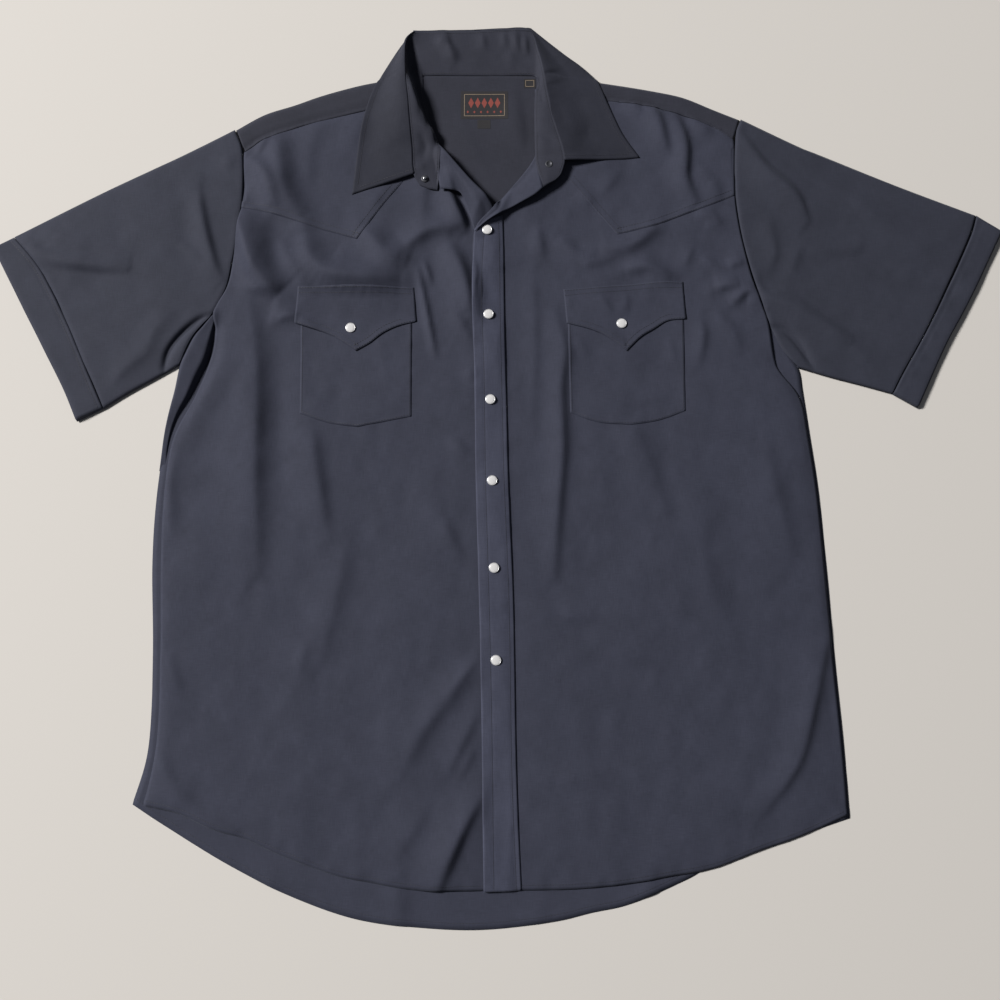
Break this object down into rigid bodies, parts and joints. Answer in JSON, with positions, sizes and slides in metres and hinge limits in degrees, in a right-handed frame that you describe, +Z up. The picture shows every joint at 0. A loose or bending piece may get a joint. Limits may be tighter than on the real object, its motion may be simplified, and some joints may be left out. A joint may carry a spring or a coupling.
{
  "type": "western snap shirt",
  "caption": "Dark charcoal short-sleeved western shirt laid flat on its back, with pointed yokes, flap pockets, pearl snaps and an open collar.",
  "frame": {"origin": "on the surface it lies on, under the middle of the shirt's box", "axes": "+X to the viewer's right across the shirt, +Y from the hem to the collar, +Z up from the surface"},
  "size_m": [1.076, 0.947, 0.0182],
  "materials": {
    "charcoal_cloth": "plain weave cotton, matte, with a faint sheen",
    "pearl": "pearl, glossy",
    "snap_metal": "polished",
    "woven_label": "satin weave"
  },
  "bodies": {
    "root": {"back": "charcoal_cloth", "back_yoke": "charcoal_cloth", "front_left": "charcoal_cloth", "front_right": "charcoal_cloth", "front_yoke_left": "charcoal_cloth", "front_yoke_right": "charcoal_cloth", "placket": "charcoal_cloth", "sleeve_left": "charcoal_cloth", "sleeve_right": "charcoal_cloth", "sleeve_hem_left": "charcoal_cloth", "sleeve_hem_right": "charcoal_cloth", "collar_stand": "charcoal_cloth", "collar_leaf": "charcoal_cloth", "pocket_left": "charcoal_cloth", "pocket_right": "charcoal_cloth", "pocket_flap_left": "charcoal_cloth", "pocket_flap_right": "charcoal_cloth", "snap_1": "pearl", "snap_2": "pearl", "snap_3": "pearl", "snap_4": "pearl", "snap_5": "pearl", "snap_6": "pearl", "pocket_snap_left": "pearl", "pocket_snap_right": "pearl", "collar_stud": "snap_metal", "collar_socket": "snap_metal", "neck_label": "woven_label", "size_label": "woven_label", "care_label": "woven_label"}
  },
  "joints": []
}
